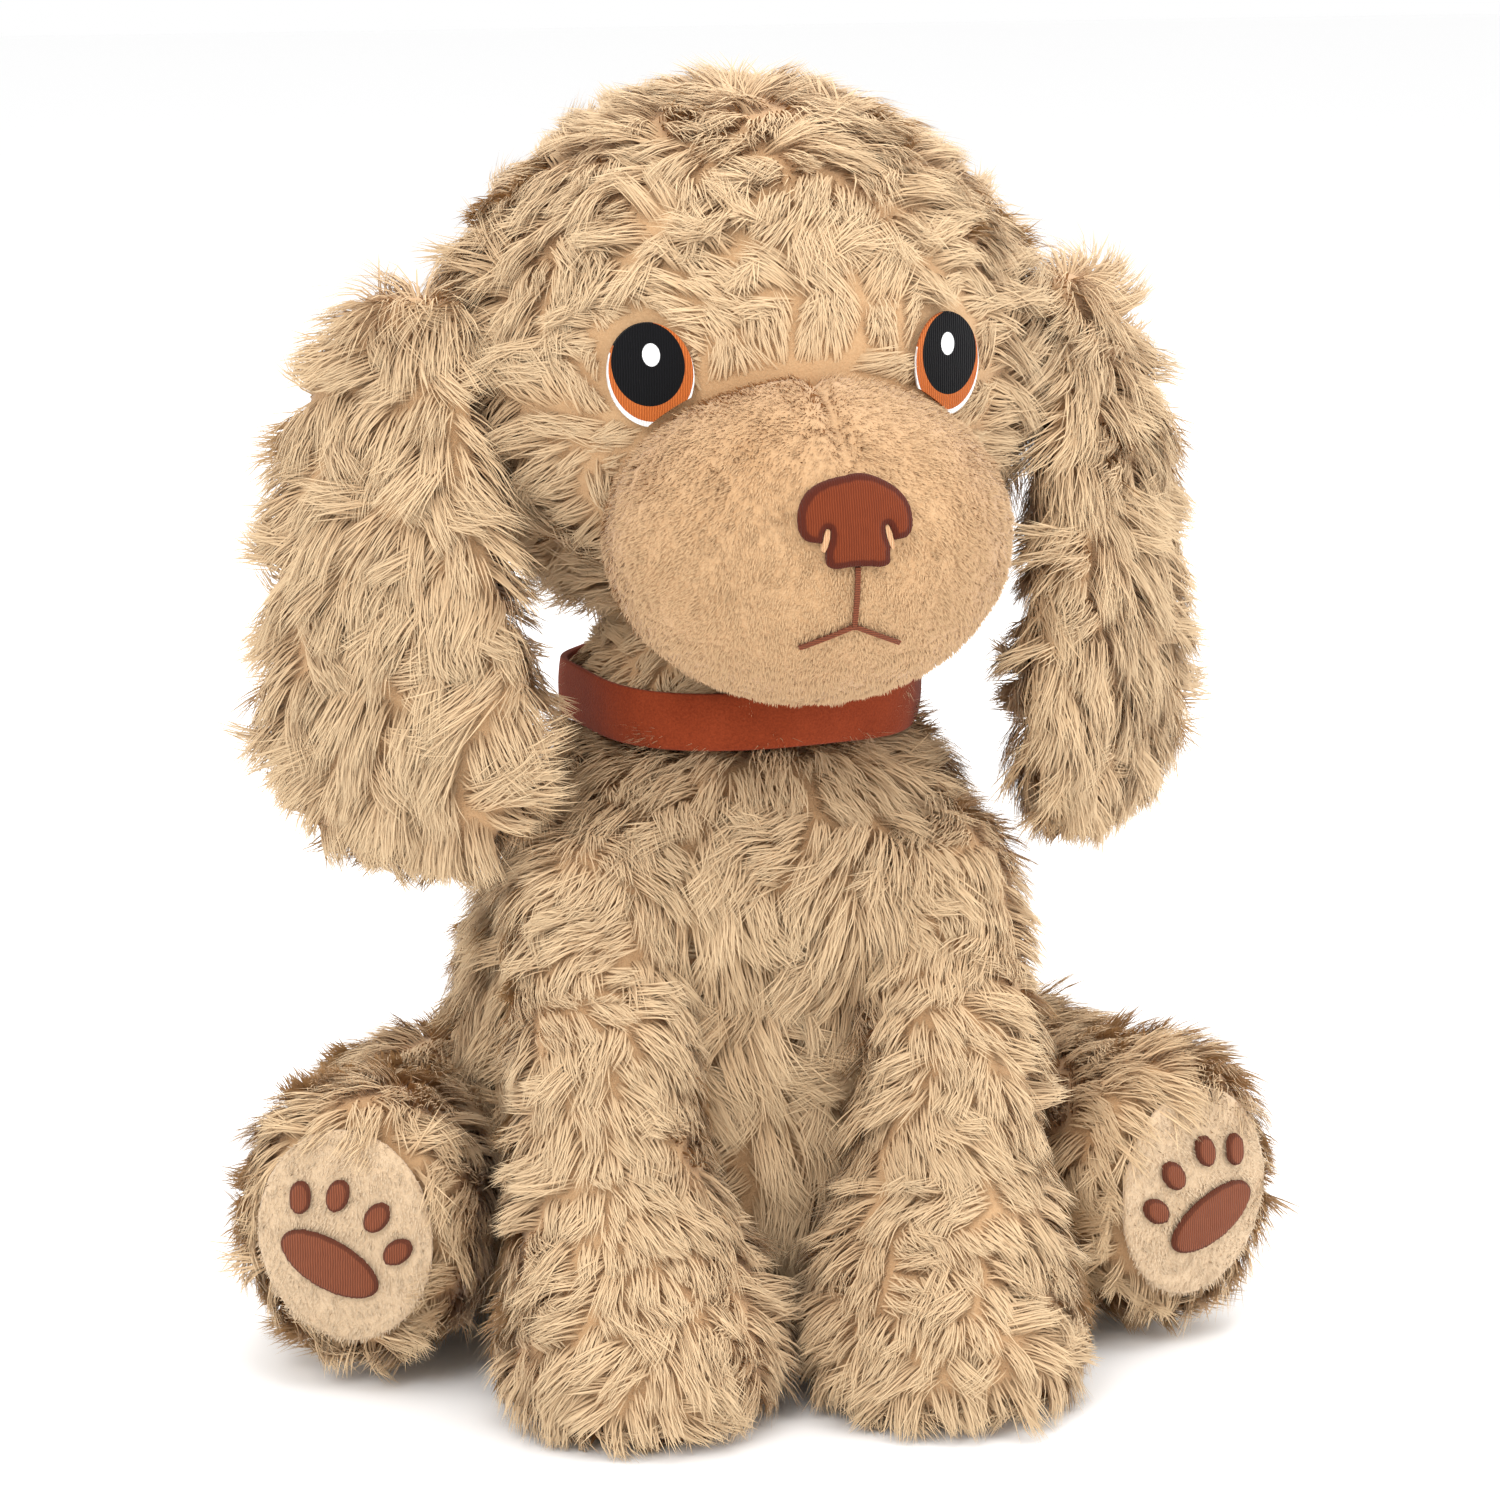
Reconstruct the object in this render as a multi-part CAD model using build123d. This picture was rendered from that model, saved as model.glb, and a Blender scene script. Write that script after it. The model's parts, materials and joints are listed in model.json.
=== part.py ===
from build123d import *
import os
from math import atan2, cos, degrees, radians, sin

# A seated plush dog, in millimetres. +Z is up, the dog faces -Y and +X is the
# dog's left. Z = 0 is the surface that it sits on. Each sewn panel is a thin
# closed shell with its own filling inside, and the limbs, the ears, the tail,
# the neck and the head are separate so that they can swing at their seams.

# ---- driving dimensions -------------------------------------------------------
FABRIC = 1.6             # backing and pile root of the long pile plush
GAP = 0.4                # room between a skin and its filling
SEAM_ROOM = 0.5          # room round the parts that swing
THREAD = 0.9             # how far embroidery stands on its cloth

BODY_TOP = 122
BODY_OVALS = [           # height, centre in Y, half width, half depth
    (0, 14, 42, 33),
    (10, 14, 51, 41),
    (32, 14, 57, 45),
    (60, 12, 56, 43),
    (90, 6, 48, 39),
    (110, 5, 39, 32),
    (BODY_TOP, 6, 34, 28),
]
BELLY_EDGE = -4          # the belly panel lies in front of this Y
PELLET_BAG = ((0, 16, 17), (30, 23, 11))

NECK = (0, 4, 134)       # middle of the neck and pivot of the nod
NECK_RADIUS = 33
NECK_BALL = 26
NECK_STEM_TOP = 134
COLLAR_HEIGHT = 11
COLLAR_THICK = 1.8
COLLAR_LOW = 122.8

HEAD_TURN = 5            # the head is set a little towards the dog's left
HEAD = ((0, 6, 193), (57, 51, 53))
GUSSET_HALF = 19         # half width of the strip over the crown
MUZZLE = ((0, -44, 166), (38.5, 33, 31))
CLOTH_MUZZLE = 1.2

EYE_AT = (28.5, 196.5)
EYE_HALF = (7.3, 9.6)
NOSE_AT = 174.5
NOSE_HALF = (10.6, 8.0)
MOUTH_LINE = 0.9
MOUTH_DROP = 12
MOUTH_HALF = 9.5
MOUTH_SAG = 3.4

EAR_YAW = 47             # the ear's flat side turns this far from side-on
EAR_OVALS = [            # height, centre X, centre Y, half width, half thickness
    (208, 64, 1, 13, 3.5),
    (194, 68.5, 0, 18, 5),
    (172, 71.5, -3, 23, 6.5),
    (146, 71, -6, 28, 8),
    (124, 70, -7, 30, 8),
    (108, 69.5, -6, 24, 7),
    (99, 69.5, -5, 12, 4),
]

EAR_BLOCK = 60           # larger than the ear, to part its two layers

SHOULDER = (32, -21, 92)
SHOULDER_BALL = 18.5
FRONT_LEG_OVALS = [      # height, centre X, centre Y, half width, half depth
    (0, 29, -50, 21, 25),
    (7, 29, -51, 26, 30),
    (20, 29, -50, 26, 28),
    (35, 31, -44, 21, 21),
    (58, 33, -38, 17.5, 17),
    (78, 33, -28.5, 17.5, 17),
    (90, 32.5, -22.5, 17.5, 17.5),
]

SHOULDER_ROOM = (0, 22, 45)  # swings that the torso is hollowed for

HIP = (60, 18, 30)
HIP_BALL = 27
HIP_ROOM = (0, 10, 20, 30)   # lifts that the torso is hollowed for
LEG_YAW = 24             # the hind leg and its sole point this far outwards
HIND_LEG_OVALS = [       # distance from the hip, then the level oval there
    (0, 0, 0, 23, 24),
    (20, 0, 0.5, 23, 25),
    (36, 0, 1.5, 23.5, 27),
    (47, 0, 2, 23.5, 27.5),
    (55, 0, 2, 20, 24),
]
SOLE_HALF = (17.5, 21)
SOLE_THICK = 1.5
PAD_LEAN = 26
MAIN_PAD_HALF = (10.5, 5.2)
TOE_HALF = (2.3, 3.3)
TOE_REACH = 11.8         # from the middle of the pads to each toe
TOE_ANGLES = (-54, -19, 19, 54)

TAIL_ROOT = (0, 55, 27)
TAIL_BALL = 11
TAIL_TIP = (0, 66.5, 34)
TAIL_TIP_HALF = (10.5, 15, 10.5)
TAIL_SLOPE = 28
TAIL_ROOM = (0, 10, 20)

BIG = 600


# ---- shapes used everywhere -----------------------------------------------------
def egg(centre, half, extra=0.0):
    """A ball stretched to its three half sizes."""
    sizes = tuple(value + extra for value in half)
    return Pos(*centre) * scale(Sphere(1), by=sizes)


def ball(centre, radius):
    return Pos(*centre) * Sphere(radius)


def upright(ovals, inset=0.0, yaw=0.0):
    """A smooth body through level ovals, or the same body with a thinner wall."""
    low = min(oval[0] for oval in ovals)
    high = max(oval[0] for oval in ovals)
    faces = []
    for height, x, y, half_x, half_y in sorted(ovals):
        level = min(max(height, low + inset), high - inset)
        at = Pos(x, y, level) * Rot(0, 0, yaw)
        faces.append(at * Ellipse(half_x - inset, half_y - inset))
    return loft(faces)


def slab(x=(-BIG, BIG), y=(-BIG, BIG), z=(-BIG, BIG)):
    size = (x[1] - x[0], y[1] - y[0], z[1] - z[0])
    middle = ((x[0] + x[1]) / 2, (y[0] + y[1]) / 2, (z[0] + z[1]) / 2)
    return Pos(*middle) * Box(*size)


def mirrored(shape):
    return mirror(shape, about=Plane.YZ)


def in_head(shape):
    """Turns a piece of the head about the neck to where the head is set."""
    x, y, z = NECK
    return Pos(x, y, z) * Rot(0, 0, HEAD_TURN) * Pos(-x, -y, -z) * shape


def whole(shape):
    """The solids of a shape, as one solid or one group."""
    solids = shape.solids()
    if len(solids) == 1:
        return solids[0]
    return Compound(children=list(solids))


def save(shape, node):
    export_step(whole(shape), "parts/" + node + ".step")


# ---- limbs as plain envelopes ------------------------------------------------------
def front_leg(inset=0.0):
    """The dog's left front leg: a round shoulder, a column and a broad paw."""
    column = upright(FRONT_LEG_OVALS, inset)
    return column + ball(SHOULDER, SHOULDER_BALL - inset)


def along_leg():
    """A place at the hip whose own Z runs down the hind leg to the sole."""
    return Pos(*HIP) * Rot(0, 0, LEG_YAW) * Rot(90, 0, 0)


def hind_leg(inset=0.0):
    """The dog's left hind leg: a round haunch that runs out to a flat soled foot."""
    return ball(HIP, HIP_BALL - inset) + along_leg() * upright(HIND_LEG_OVALS, inset)


def tail_shape(inset=0.0):
    half = tuple(v - inset for v in TAIL_TIP_HALF)
    tip = Pos(*TAIL_TIP) * Rot(TAIL_SLOPE, 0, 0) * scale(Sphere(1), by=half)
    return ball(TAIL_ROOT, TAIL_BALL - inset) + tip


# ---- torso ---------------------------------------------------------------------------
def lifted(shape, pivot, angle):
    """A leg or the tail turned about its pivot, side to side."""
    x, y, z = pivot
    return Pos(x, y, z) * Rot(angle, 0, 0) * Pos(-x, -y, -z) * shape


def torso_sockets(room):
    """Where the legs and the tail sit in the torso, with room to swing."""
    arm = front_leg(-room)
    leg = hind_leg(-room)
    sockets = []
    for angle in SHOULDER_ROOM:
        swung = lifted(arm, SHOULDER, -angle)
        sockets += [swung, mirrored(swung)]
    for angle in HIP_ROOM:
        raised = lifted(leg, HIP, -angle)
        sockets += [raised, mirrored(raised)]
    for angle in TAIL_ROOM:
        sockets.append(lifted(tail_shape(-room), TAIL_ROOT, angle))
    return sockets


def make_torso():
    ovals = [(z, 0, y, half_x, half_y) for z, y, half_x, half_y in BODY_OVALS]
    outer = upright(ovals)
    inner = upright(ovals, FABRIC)
    filling = upright(ovals, FABRIC + GAP)
    skin = outer - inner
    for socket in torso_sockets(SEAM_ROOM):
        skin -= socket
    for socket in torso_sockets(SEAM_ROOM + FABRIC):
        filling -= socket
    bag_at, bag_half = PELLET_BAG
    filling -= egg(bag_at, bag_half, GAP)
    seat = skin & slab(z=(-1, FABRIC))
    upper = skin & slab(z=(FABRIC, BIG))
    back = upper & slab(y=(BELLY_EDGE, BIG))
    save(seat, "seat_panel")
    save(upper & slab(y=(-BIG, BELLY_EDGE)), "belly_panel")
    save(back & slab(x=(0, BIG)), "back_panel_left")
    save(back & slab(x=(-BIG, 0)), "back_panel_right")
    save(filling, "torso_stuffing")
    save(egg(bag_at, bag_half), "seat_pellet_bag")


# ---- neck and collar --------------------------------------------------------------------
def make_neck():
    x, y, top = NECK[0], NECK[1], NECK_STEM_TOP
    low = BODY_TOP + SEAM_ROOM
    stem = slab(z=(low, top)) & Pos(x, y, 0) * Cylinder(NECK_RADIUS, BIG)
    core = slab(z=(low, top)) & Pos(x, y, 0) * Cylinder(NECK_RADIUS - FABRIC, BIG)
    plug = slab(z=(low, top)) & Pos(x, y, 0) * Cylinder(NECK_RADIUS - FABRIC - GAP, BIG)
    dome = ball(NECK, NECK_BALL) & slab(z=(top, BIG))
    inside = NECK_RADIUS + GAP
    band = Pos(x, y, COLLAR_LOW + COLLAR_HEIGHT / 2) * Cylinder(inside + COLLAR_THICK, COLLAR_HEIGHT)
    band -= Pos(x, y, 0) * Cylinder(inside, BIG)
    save(stem - core, "neck_skin")
    save(plug + dome, "neck_stuffing")
    save(band, "collar")


# ---- head --------------------------------------------------------------------------------
def on_egg(outline, egg_shape, direction, depth=THREAD):
    """Embroidery: an outline carried onto an egg shaped surface as a thin layer."""
    centre, half = egg_shape
    layer = egg(centre, half, depth) - egg(centre, half, 0.05)
    return layer & extrude(outline, amount=BIG, dir=direction)


def face_plane(x, z, egg_shape):
    """An upright drawing plane in the middle of an egg, looking forwards."""
    return Plane(origin=(x, egg_shape[0][1], z), x_dir=(1, 0, 0), z_dir=(0, -1, 0))


def eye_layers(side):
    """Rim, iris, pupil and highlight, lying edge to edge like satin stitch."""
    half_x, half_z = EYE_HALF
    plane = face_plane(side * EYE_AT[0], EYE_AT[1], HEAD)
    full = plane * Ellipse(half_x, half_z)
    iris = full & plane * Pos(0, 0.6) * Ellipse(half_x - 0.15, half_z - 0.4)
    pupil = iris & plane * Pos(side * 0.5, 2.0) * Ellipse(half_x - 1.1, half_z - 1.9)
    light = plane * Pos(0, 3.8) * Ellipse(1.5, 2.1)
    return {
        "eye_rim": full - iris,
        "eye_iris": iris - pupil,
        "eye_pupil": pupil - light,
        "eye_highlight": light,
    }


def nose_outline():
    """Broad domed top, two side lobes and a narrower block below."""
    half_x, half_z = NOSE_HALF
    right = [
        (0, half_z),
        (0.62 * half_x, 0.80 * half_z),
        (half_x, 0.15 * half_z),
        (0.86 * half_x, -0.42 * half_z),
        (0.60 * half_x, -0.50 * half_z),
        (0.56 * half_x, -0.92 * half_z),
        (0, -half_z),
    ]
    left = [(-x, z) for x, z in reversed(right[1:-1])]
    edge = Spline(*(right + left), periodic=True)
    return face_plane(0, NOSE_AT, MUZZLE) * make_face(edge)


def nostril_outlines():
    plane = face_plane(0, NOSE_AT, MUZZLE)
    half_x, half_z = NOSE_HALF
    shapes = []
    for side in (-1, 1):
        at = Pos(side * 0.56 * half_x, -0.36 * half_z) * Rot(0, 0, side * 14)
        shapes.append(plane * at * Ellipse(0.55, 2.4))
    return shapes


def mouth_outlines():
    """The line under the nose and the two short lines that part from its foot."""
    plane = face_plane(0, 0, MUZZLE)
    top = NOSE_AT - NOSE_HALF[1] - 0.2
    fork = top - MOUTH_DROP
    half = MOUTH_LINE / 2
    stem = plane * Pos(0, (top + fork) / 2) * Rectangle(MOUTH_LINE, top - fork)
    shapes = [stem]
    for side in (-1, 1):
        start = Vector(side * half, fork + 0.5)
        end = Vector(side * MOUTH_HALF, fork - MOUTH_SAG)
        run = end - start
        turn = Rot(0, 0, degrees(atan2(run.Y, run.X)))
        middle = (start + end) * 0.5
        shapes.append(plane * Pos(middle.X, middle.Y) * turn * Rectangle(run.length, MOUTH_LINE))
    return shapes


def make_head():
    centre, half = HEAD
    socket = ball(NECK, NECK_BALL + SEAM_ROOM)
    filling_socket = ball(NECK, NECK_BALL + SEAM_ROOM + FABRIC)
    skin = egg(centre, half) - egg(centre, half, -FABRIC) - socket
    filling = egg(centre, half, -FABRIC - GAP) - filling_socket
    save(in_head(skin & slab(x=(-GUSSET_HALF, GUSSET_HALF))), "head_gusset")
    save(in_head(skin & slab(x=(GUSSET_HALF, BIG))), "head_side_left")
    save(in_head(skin & slab(x=(-BIG, -GUSSET_HALF))), "head_side_right")
    save(in_head(filling), "head_stuffing")

    centre_m, half_m = MUZZLE
    around = egg(centre, half, 0.05)
    muzzle = egg(centre_m, half_m) - egg(centre_m, half_m, -CLOTH_MUZZLE) - around
    stuffing = egg(centre_m, half_m, -CLOTH_MUZZLE - GAP) - egg(centre, half, GAP)
    room = ball(NECK, NECK_RADIUS + 6)
    save(in_head(muzzle - room), "muzzle_skin")
    save(in_head(stuffing - ball(NECK, NECK_RADIUS + 6 + FABRIC)), "muzzle_stuffing")

    front = (0, -1, 0)
    muzzle_body = egg(centre_m, half_m, 1.0)
    for side, word in ((1, "left"), (-1, "right")):
        for name, outline in eye_layers(side).items():
            save(in_head(on_egg(outline, HEAD, front) - muzzle_body), name + "_" + word)

    nose = on_egg(nose_outline(), MUZZLE, front, 1.6)
    nostrils = None
    for outline in nostril_outlines():
        slit = on_egg(outline, MUZZLE, front, 1.6)
        nose -= slit
        nostrils = slit if nostrils is None else nostrils + slit
    save(in_head(nose), "nose")
    save(in_head(nostrils), "nostril_stitches")
    mouth = None
    for outline in mouth_outlines():
        stroke = on_egg(outline, MUZZLE, front, 0.8)
        mouth = stroke if mouth is None else mouth + stroke
    save(in_head(mouth), "mouth_stitches")


# ---- ears ----------------------------------------------------------------------------------
def make_ears():
    """Two layers of fur cloth sewn together round the edge, with nothing between."""
    flap = upright(EAR_OVALS, 0, EAR_YAW)
    faces = []
    for height, x, y, half_x, half_y in sorted(EAR_OVALS):
        at = Pos(x, y, height) * Rot(0, 0, EAR_YAW)
        faces.append(at * Pos(0, EAR_BLOCK / 2) * Rectangle(2 * EAR_BLOCK, EAR_BLOCK))
    behind = loft(faces)
    layers = {"ear_front": flap - behind, "ear_lining": flap & behind}
    for name, layer in layers.items():
        save(in_head(layer), name + "_left")
        save(in_head(mirrored(layer)), name + "_right")


# ---- legs ----------------------------------------------------------------------------------
def make_front_legs():
    skin = front_leg() - front_leg(FABRIC)
    filling = front_leg(FABRIC + GAP)
    middle = SHOULDER[0]
    outer = skin & slab(x=(middle, BIG))
    inner = skin & slab(x=(-BIG, middle))
    for side, word in ((1, "left"), (-1, "right")):
        pieces = {"front_leg_outer": outer, "front_leg_inner": inner, "front_leg_stuffing": filling}
        for name, piece in pieces.items():
            save(piece if side > 0 else mirrored(piece), name + "_" + word)


def pad_outlines(level):
    """A bean shaped main pad with four toes in an arc above it, leaning inwards."""
    place = along_leg() * Pos(0, HIND_LEG_OVALS[-1][2], level) * Rot(0, 0, PAD_LEAN)
    main = place * Pos(0, -5.5) * Ellipse(*MAIN_PAD_HALF)
    toes = []
    for angle in TOE_ANGLES:
        x = TOE_REACH * sin(radians(angle)) * 1.12
        y = TOE_REACH * cos(radians(angle)) - 3.5
        toes.append(place * Pos(x, y) * Rot(0, 0, -angle * 0.4) * Ellipse(*TOE_HALF))
    return main, toes


def make_hind_legs():
    skin = hind_leg() - hind_leg(FABRIC)
    filling = hind_leg(FABRIC + GAP)
    ankle = HIND_LEG_OVALS[-1]
    face = along_leg() * Pos(0, ankle[2], ankle[0] + 0.05) * Ellipse(*SOLE_HALF)
    sole = extrude(face, amount=SOLE_THICK)
    main, toes = pad_outlines(ankle[0] + SOLE_THICK + 0.1)
    pad = extrude(main, amount=THREAD)
    toe_pads = extrude(toes[0], amount=THREAD)
    for toe in toes[1:]:
        toe_pads += extrude(toe, amount=THREAD)
    middle = HIP[0] + 8
    pieces = {
        "hind_leg_outer": skin & slab(x=(middle, BIG)),
        "hind_leg_inner": skin & slab(x=(-BIG, middle)),
        "hind_leg_stuffing": filling,
        "hind_sole": sole,
        "hind_main_pad": pad,
        "hind_toe_pads": toe_pads,
    }
    for side, word in ((1, "left"), (-1, "right")):
        for name, piece in pieces.items():
            save(piece if side > 0 else mirrored(piece), name + "_" + word)


def make_tail():
    save(tail_shape() - tail_shape(FABRIC), "tail_skin")
    save(tail_shape(FABRIC + GAP), "tail_stuffing")


os.makedirs("parts", exist_ok=True)
make_torso()
make_neck()
make_head()
make_ears()
make_front_legs()
make_hind_legs()
make_tail()
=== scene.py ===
import json
import math

import bpy
import numpy as np
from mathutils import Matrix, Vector, kdtree, noise


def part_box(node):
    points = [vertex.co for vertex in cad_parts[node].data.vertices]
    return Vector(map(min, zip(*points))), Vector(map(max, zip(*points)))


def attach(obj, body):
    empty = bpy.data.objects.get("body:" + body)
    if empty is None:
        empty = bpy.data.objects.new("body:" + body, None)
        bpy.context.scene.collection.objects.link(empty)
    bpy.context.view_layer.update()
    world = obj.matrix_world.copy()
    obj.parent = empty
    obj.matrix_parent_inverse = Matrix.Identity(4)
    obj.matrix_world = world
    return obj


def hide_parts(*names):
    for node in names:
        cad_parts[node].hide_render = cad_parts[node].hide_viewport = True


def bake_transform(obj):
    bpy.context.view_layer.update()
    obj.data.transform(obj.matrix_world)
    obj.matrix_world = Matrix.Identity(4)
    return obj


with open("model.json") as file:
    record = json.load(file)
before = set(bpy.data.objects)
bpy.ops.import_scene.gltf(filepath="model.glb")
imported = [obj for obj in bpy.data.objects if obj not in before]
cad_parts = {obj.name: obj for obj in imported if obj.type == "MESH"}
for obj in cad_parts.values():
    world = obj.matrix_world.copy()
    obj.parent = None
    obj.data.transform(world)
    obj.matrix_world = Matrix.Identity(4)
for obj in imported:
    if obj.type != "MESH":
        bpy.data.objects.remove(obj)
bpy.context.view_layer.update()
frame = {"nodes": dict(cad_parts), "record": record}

MM = 0.001
record = frame["record"]
joints = {j["name"]: j for j in record["behaviour"]["joints"]}
SIDES = (("left", 1), ("right", -1))


# ---- camera, floor and light ---------------------------------------------------
def box_middle(node):
    low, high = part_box(node)
    return (np.array(low) + np.array(high)) / 2


def aim(thing, target):
    thing.rotation_euler = (Vector(target) - thing.location).to_track_quat("-Z", "Y").to_euler()


def add_camera(azimuth=-10.0, elevation=12.5, distance=1.05, span=0.2930, target=(0.001, 0.0, 0.116)):
    data = bpy.data.cameras.new("camera")
    data.sensor_width = 36
    data.lens = 36 * distance / span
    data.clip_start = 0.01
    camera = bpy.data.objects.new("camera", data)
    bpy.context.scene.collection.objects.link(camera)
    a, e = math.radians(azimuth), math.radians(elevation)
    away = Vector((math.sin(a) * math.cos(e), -math.cos(a) * math.cos(e), math.sin(e)))
    camera.location = Vector(target) + away * distance
    aim(camera, target)
    bpy.context.scene.camera = camera


def add_light(name, place, size, power, colour=(1, 1, 1)):
    data = bpy.data.lights.new(name, "AREA")
    data.shape = "DISK"
    data.size = size
    data.energy = power
    data.color = colour
    lamp = bpy.data.objects.new(name, data)
    lamp.location = place
    bpy.context.scene.collection.objects.link(lamp)
    aim(lamp, (0, 0, 0.12))


def add_stage():
    bpy.ops.mesh.primitive_plane_add(size=6, location=(0, 0, 0))
    floor = bpy.context.object
    floor.name = "floor"
    paint = bpy.data.materials.new("pale_floor")
    paint.use_nodes = True
    shader = paint.node_tree.nodes["Principled BSDF"]
    shader.inputs["Base Color"].default_value = (0.96, 0.96, 0.96, 1)
    shader.inputs["Roughness"].default_value = 0.9
    floor.data.materials.append(paint)
    world = bpy.data.worlds.new("studio")
    bpy.context.scene.world = world
    world.use_nodes = True
    world.node_tree.nodes["Background"].inputs["Color"].default_value = (1, 1, 1, 1)
    world.node_tree.nodes["Background"].inputs["Strength"].default_value = 1.0
    add_light("key", (-0.7, -1.1, 1.1), 0.7, 10)
    add_light("fill", (1.0, -0.9, 0.7), 0.9, 6)
    add_light("rim", (0.3, 1.0, 1.0), 0.8, 7)
    add_light("top", (0.1, -0.35, 1.2), 0.9, 5)
    view = bpy.context.scene.view_settings
    view.view_transform = "Standard"
    view.look = "None"


# ---- materials -------------------------------------------------------------------
class Sum:
    """A shader socket that plain arithmetic can be written with."""

    def __init__(self, paint, socket):
        self.paint = paint
        self.socket = socket

    def math(self, kind, a, b):
        return self.paint.node("ShaderNodeMath", {"operation": kind}, [a, b])

    def __add__(self, other):
        return self.math("ADD", self, other)

    def __radd__(self, other):
        return self.math("ADD", other, self)

    def __sub__(self, other):
        return self.math("SUBTRACT", self, other)

    def __rsub__(self, other):
        return self.math("SUBTRACT", other, self)

    def __mul__(self, other):
        return self.math("MULTIPLY", self, other)

    def __rmul__(self, other):
        return self.math("MULTIPLY", other, self)


class Paint:
    """A material whose nodes are made one call at a time."""

    def __init__(self, name, roughness=0.8, sheen=0.0, specular=0.3):
        self.material = bpy.data.materials.new(name)
        self.material.use_nodes = True
        self.tree = self.material.node_tree
        self.shader = self.tree.nodes["Principled BSDF"]
        self.shader.inputs["Roughness"].default_value = roughness
        self.shader.inputs["Sheen Weight"].default_value = sheen
        self.shader.inputs["Sheen Roughness"].default_value = 0.5
        self.shader.inputs["Specular IOR Level"].default_value = specular

    def put(self, socket, value):
        if isinstance(value, Sum):
            self.tree.links.new(value.socket, socket)
        elif value is not None:
            socket.default_value = value

    def node(self, kind, settings=None, inputs=(), output=0):
        made = self.tree.nodes.new(kind)
        for key, value in (settings or {}).items():
            if key == "stops":
                for _ in range(len(value) - 2):
                    made.color_ramp.elements.new(0.5)
                for element, (place, colour) in zip(made.color_ramp.elements, value):
                    element.position = place
                    element.color = (*colour, 1)
            else:
                setattr(made, key, value)
        pairs = inputs.items() if isinstance(inputs, dict) else enumerate(inputs)
        for key, value in pairs:
            self.put(made.inputs[key], value)
        return Sum(self, made.outputs[output])

    def place(self):
        return self.node("ShaderNodeTexCoord", output="Object")

    def noise(self, scale, detail=3.0, vector=None):
        place = vector or self.place()
        return self.node("ShaderNodeTexNoise", None, {"Vector": place, "Scale": scale, "Detail": detail})

    def ramp(self, value, stops):
        return self.node("ShaderNodeValToRGB", {"stops": stops}, [value])

    def mix(self, factor, a, b, blend="MIX"):
        settings = {"data_type": "RGBA", "blend_type": blend}
        return self.node("ShaderNodeMix", settings, {0: factor, 6: a, 7: b}, 2)

    def colour(self, value):
        self.put(self.shader.inputs["Base Color"], value)

    def bump(self, height, strength=0.4, distance=0.0004):
        inputs = {"Strength": strength, "Distance": distance, "Height": height}
        made = self.node("ShaderNodeBump", None, inputs)
        self.put(self.shader.inputs["Normal"], made)


def srgb(r, g, b):
    """A colour given in 0 to 255, as the renderer's light values."""
    def one(v):
        v /= 255
        return v / 12.92 if v <= 0.04045 else ((v + 0.055) / 1.055) ** 2.4
    return (one(r), one(g), one(b))


def rgba(colour):
    return (*colour, 1)


def fur_paint(name, root, middle, tip, tone=0.05):
    """Pile: darker at the root as painted shade deep in the pile, pale at the tip, each hair a little lighter
    or darker.
    """
    p = Paint(name, 0.9, 0.1, 0.04)
    uv = p.node("ShaderNodeUVMap", {"uv_map": "Hair"})
    split = p.tree.nodes.new("ShaderNodeSeparateXYZ")
    p.put(split.inputs[0], uv)
    shade, along = Sum(p, split.outputs[0]), Sum(p, split.outputs[1])
    # painted shade: the ramp darkens each hair towards its root, standing in for the shade deep inside the
    # pile
    body = p.ramp(along, [(0.0, root), (0.42, middle), (0.85, tip)])
    level = (1 - tone) + shade * (2 * tone)
    grey = p.node("ShaderNodeCombineXYZ", None, [level, level, level])
    p.colour(p.mix(1.0, body, grey, "MULTIPLY"))
    return p.material


def cloth_paint(name, low, high, roughness=0.9, sheen=0.3, scale=2200.0, strength=0.5):
    """Short pile or backing: a fine broken grain in two close tones."""
    p = Paint(name, roughness, sheen, 0.1)
    grain = p.noise(scale, 4.0)
    patch = p.noise(70.0, 2.0)
    p.colour(p.ramp(grain * 0.6 + patch * 0.4, [(0.35, low), (0.65, high)]))
    p.bump(grain, strength, 0.0003)
    return p.material


def thread_paint(name, low, high, across=(1, 0, 0), pitch=0.00045, roughness=0.45, edge=None):
    """Satin stitch: fine parallel threads, each painted lighter along its crown and darker in the grooves
    between as painted light and shade, with a darker edging where one is asked for.
    """
    p = Paint(name, roughness, 0.05, 0.15)
    place = p.place()
    wobble = p.noise(500.0, 2.0)
    run = p.node("ShaderNodeVectorMath", {"operation": "DOT_PRODUCT"}, {0: place, 1: across}, 1)
    wave = p.node("ShaderNodeMath", {"operation": "SINE"}, [run * (2 * math.pi / pitch) + wobble * 5.0])
    lit = wave * 0.5 + 0.5
    # painted light and shade: each thread lighter on its crown and darker in the grooves between threads
    body = p.ramp(lit * 0.7 + wobble * 0.3, [(0.1, low), (0.75, high)])
    if edge is not None:
        split = p.tree.nodes.new("ShaderNodeSeparateXYZ")
        p.put(split.inputs[0], p.node("ShaderNodeUVMap", {"uv_map": "Edge"}))
        inwards = p.ramp(Sum(p, split.outputs[0]), [(0.55, (0, 0, 0)), (0.75, (1, 1, 1))])
        body = p.mix(inwards, (*edge, 1), body)
    p.colour(body)
    p.bump(lit, 0.7, 0.00025)
    return p.material


# ---- coats: the cloth bodies under the pile ------------------------------------------
def deselect():
    bpy.ops.object.select_all(action="DESELECT")


def pick(thing):
    deselect()
    thing.select_set(True)
    bpy.context.view_layer.objects.active = thing


def apply_modifier(thing, kind, **settings):
    pick(thing)
    made = thing.modifiers.new(kind.lower(), kind)
    for key, value in settings.items():
        setattr(made, key, value)
    bpy.ops.object.modifier_apply(modifier=made.name)


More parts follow.
